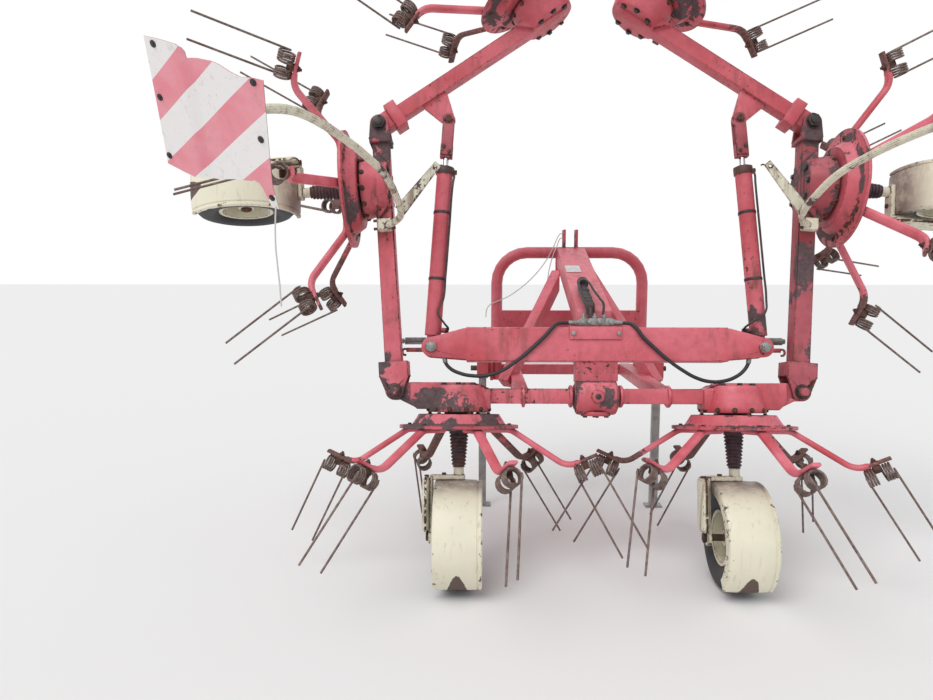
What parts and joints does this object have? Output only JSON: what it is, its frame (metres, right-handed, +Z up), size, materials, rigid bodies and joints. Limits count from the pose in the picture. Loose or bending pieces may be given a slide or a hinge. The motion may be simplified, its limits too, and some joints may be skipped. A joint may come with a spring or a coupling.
{
  "type": "mounted hay tedder",
  "caption": "Mounted hay tedder with spring-tined rotors on folding wings, parked folded on its wheels and parking legs, with a hitch headstock in front.",
  "frame": {"origin": "middle of the footprint of the folded machine, on the ground", "axes": "+X to the right seen from behind and along the lower hitch pins, +Y forward towards the tractor, +Z up"},
  "size_m": [3.3476, 2.1665, 3.2787],
  "materials": {
    "arm_brown": "rusty brown paint",
    "bare_steel": "worn bare steel",
    "board_sheet": "white sheet with red stripes",
    "chrome_rod": "bright rod",
    "cream_paint": "chipped cream paint",
    "dark_steel": "dark oily steel",
    "galvanised": "dull galvanised steel",
    "hose_rubber": "black rubber hose",
    "red_paint": "faded, chipped and rusty orange-red paint",
    "rim_cream": "chipped cream paint",
    "rope_white": "thin white rope",
    "spring_steel": "greasy spring steel",
    "tyre_rubber": "dusty black rubber"
  },
  "bodies": {
    "chassis": {"main_beam": "red_paint", "gearbox_center": "red_paint", "frame_left": "red_paint", "frame_right": "red_paint", "mast": "red_paint", "braces": "red_paint", "headstock": "red_paint", "hitch_pins": "bare_steel", "top_link": "red_paint", "valve_block": "dark_steel", "leg_left_1": "cream_paint", "leg_right_1": "cream_paint", "lock_left": "spring_steel", "lock_right": "spring_steel", "hose_left": "hose_rubber", "hose_right": "hose_rubber", "rope_long": "rope_white", "rope_short": "rope_white"},
    "wing_left": {"leg_left_2": "cream_paint", "wing_left": "red_paint", "board_left": "board_sheet", "board_string": "rope_white"},
    "tip_left": {"leg_left_3": "cream_paint", "tip_left": "red_paint"},
    "barrel_left": {"barrel_left": "red_paint"},
    "rod_left": {"rod_left": "chrome_rod"},
    "stand_left": {"stand_left": "galvanised"},
    "rotor_left_1": {"rotor_left_1": "red_paint", "arms_left_1": "arm_brown"},
    "wheel_left_1": {"rim_left_1": "rim_cream", "tyre_left_1": "tyre_rubber"},
    "rotor_left_2": {"rotor_left_2": "red_paint", "arms_left_2": "arm_brown"},
    "wheel_left_2": {"rim_left_2": "rim_cream", "tyre_left_2": "tyre_rubber"},
    "rotor_left_3": {"rotor_left_3": "red_paint", "arms_left_3": "arm_brown"},
    "wheel_left_3": {"rim_left_3": "rim_cream", "tyre_left_3": "tyre_rubber"},
    "wing_right": {"leg_right_2": "cream_paint", "wing_right": "red_paint", "board_right": "board_sheet"},
    "tip_right": {"leg_right_3": "cream_paint", "tip_right": "red_paint"},
    "barrel_right": {"barrel_right": "red_paint"},
    "rod_right": {"rod_right": "chrome_rod"},
    "stand_right": {"stand_right": "galvanised"},
    "rotor_right_1": {"rotor_right_1": "red_paint", "arms_right_1": "arm_brown"},
    "wheel_right_1": {"rim_right_1": "rim_cream", "tyre_right_1": "tyre_rubber"},
    "rotor_right_2": {"rotor_right_2": "red_paint", "arms_right_2": "arm_brown"},
    "wheel_right_2": {"rim_right_2": "rim_cream", "tyre_right_2": "tyre_rubber"},
    "rotor_right_3": {"rotor_right_3": "red_paint", "arms_right_3": "arm_brown"},
    "wheel_right_3": {"rim_right_3": "rim_cream", "tyre_right_3": "tyre_rubber"}
  },
  "joints": [
    {"name": "wing_fold_left", "type": "hinge", "parent": "chassis", "child": "wing_left", "pos_m": [-0.821, -0.0641, 0.78121], "axis": [0, -0.9816, 0.1908], "range_deg": [0, 86]},
    {"name": "tip_fold_left", "type": "hinge", "parent": "wing_left", "child": "tip_left", "pos_m": [-0.89913, 0.14909, 1.87796], "axis": [0, -0.9816, 0.1908], "range_deg": [0, 60]},
    {"name": "barrel_swing_left", "type": "hinge", "parent": "chassis", "child": "barrel_left", "pos_m": [-0.673, -0.03583, 0.95807], "axis": [0, -0.9816, 0.1908], "range_deg": [0, 95.28]},
    {"name": "rod_slide_left", "type": "slide", "parent": "barrel_left", "child": "rod_left", "axis": [0.0672, 0.1904, 0.9794], "range_m": [0, 0.55776]},
    {"name": "stand_lift_left", "type": "slide", "parent": "chassis", "child": "stand_left", "axis": [0, 0, 1], "range_m": [0, 0.25]},
    {"name": "wing_fold_right", "type": "hinge", "parent": "chassis", "child": "wing_right", "pos_m": [0.821, -0.0641, 0.78121], "axis": [0, 0.9816, -0.1908], "range_deg": [0, 86]},
    {"name": "tip_fold_right", "type": "hinge", "parent": "wing_right", "child": "tip_right", "pos_m": [0.89913, 0.14909, 1.87796], "axis": [0, 0.9816, -0.1908], "range_deg": [0, 60]},
    {"name": "barrel_swing_right", "type": "hinge", "parent": "chassis", "child": "barrel_right", "pos_m": [0.673, -0.03583, 0.95807], "axis": [0, 0.9816, -0.1908], "range_deg": [0, 95.28]},
    {"name": "rod_slide_right", "type": "slide", "parent": "barrel_right", "child": "rod_right", "axis": [-0.0672, 0.1904, 0.9794], "range_m": [0, 0.55776]},
    {"name": "stand_lift_right", "type": "slide", "parent": "chassis", "child": "stand_right", "axis": [0, 0, 1], "range_m": [0, 0.25]},
    {"name": "rotor_spin_left_1", "type": "hinge", "parent": "chassis", "child": "rotor_left_1", "pos_m": [-0.56, -0.091, 0.64281], "axis": [0, 0.1908, 0.9816], "continuous": true},
    {"name": "wheel_spin_left_1", "type": "hinge", "parent": "chassis", "child": "wheel_left_1", "pos_m": [-0.56, -0.1761, 0.205], "axis": [1, 0, 0], "continuous": true},
    {"name": "rotor_spin_left_2", "type": "hinge", "parent": "wing_left", "child": "rotor_left_2", "pos_m": [-1.02158, 0.09753, 1.61272], "axis": [0.9976, 0.0133, 0.0685], "continuous": true},
    {"name": "wheel_spin_left_2", "type": "hinge", "parent": "wing_left", "child": "wheel_left_2", "pos_m": [-1.46649, 0.0916, 1.58218], "axis": [0.0698, -0.1903, -0.9792], "continuous": true},
    {"name": "rotor_spin_left_3", "type": "hinge", "parent": "tip_left", "child": "rotor_left_3", "pos_m": [-0.26583, 0.26305, 2.46423], "axis": [0.5592, -0.1582, -0.8138], "continuous": true},
    {"name": "wheel_spin_left_3", "type": "hinge", "parent": "tip_left", "child": "wheel_left_3", "pos_m": [-0.51523, 0.3336, 2.82719], "axis": [-0.829, -0.1067, -0.5489], "continuous": true},
    {"name": "rotor_spin_right_1", "type": "hinge", "parent": "chassis", "child": "rotor_right_1", "pos_m": [0.56, -0.091, 0.64281], "axis": [0, 0.1908, 0.9816], "continuous": true},
    {"name": "wheel_spin_right_1", "type": "hinge", "parent": "chassis", "child": "wheel_right_1", "pos_m": [0.56, -0.1761, 0.205], "axis": [1, 0, 0], "continuous": true},
    {"name": "rotor_spin_right_2", "type": "hinge", "parent": "wing_right", "child": "rotor_right_2", "pos_m": [1.02158, 0.09753, 1.61272], "axis": [-0.9976, 0.0133, 0.0685], "continuous": true},
    {"name": "wheel_spin_right_2", "type": "hinge", "parent": "wing_right", "child": "wheel_right_2", "pos_m": [1.46649, 0.0916, 1.58218], "axis": [0.0698, 0.1903, 0.9792], "continuous": true},
    {"name": "rotor_spin_right_3", "type": "hinge", "parent": "tip_right", "child": "rotor_right_3", "pos_m": [0.26583, 0.26305, 2.46423], "axis": [-0.5592, -0.1582, -0.8138], "continuous": true},
    {"name": "wheel_spin_right_3", "type": "hinge", "parent": "tip_right", "child": "wheel_right_3", "pos_m": [0.51523, 0.3336, 2.82719], "axis": [-0.829, 0.1067, 0.5489], "continuous": true}
  ],
  "couplings": [
    {"joint": "tip_fold_left", "follows": "wing_fold_left", "ratio": 0.69767},
    {"joint": "barrel_swing_left", "follows": "wing_fold_left", "ratio": 1.1079},
    {"joint": "rod_slide_left", "follows": "wing_fold_left", "m_per_rad": 0.3716},
    {"joint": "tip_fold_right", "follows": "wing_fold_right", "ratio": 0.69767},
    {"joint": "barrel_swing_right", "follows": "wing_fold_right", "ratio": 1.1079},
    {"joint": "rod_slide_right", "follows": "wing_fold_right", "m_per_rad": 0.3716},
    {"joint": "rotor_spin_left_2", "follows": "rotor_spin_left_1", "ratio": -1},
    {"joint": "rotor_spin_left_3", "follows": "rotor_spin_left_1", "ratio": 1},
    {"joint": "rotor_spin_right_1", "follows": "rotor_spin_left_1", "ratio": -1},
    {"joint": "rotor_spin_right_2", "follows": "rotor_spin_left_1", "ratio": 1},
    {"joint": "rotor_spin_right_3", "follows": "rotor_spin_left_1", "ratio": -1}
  ]
}
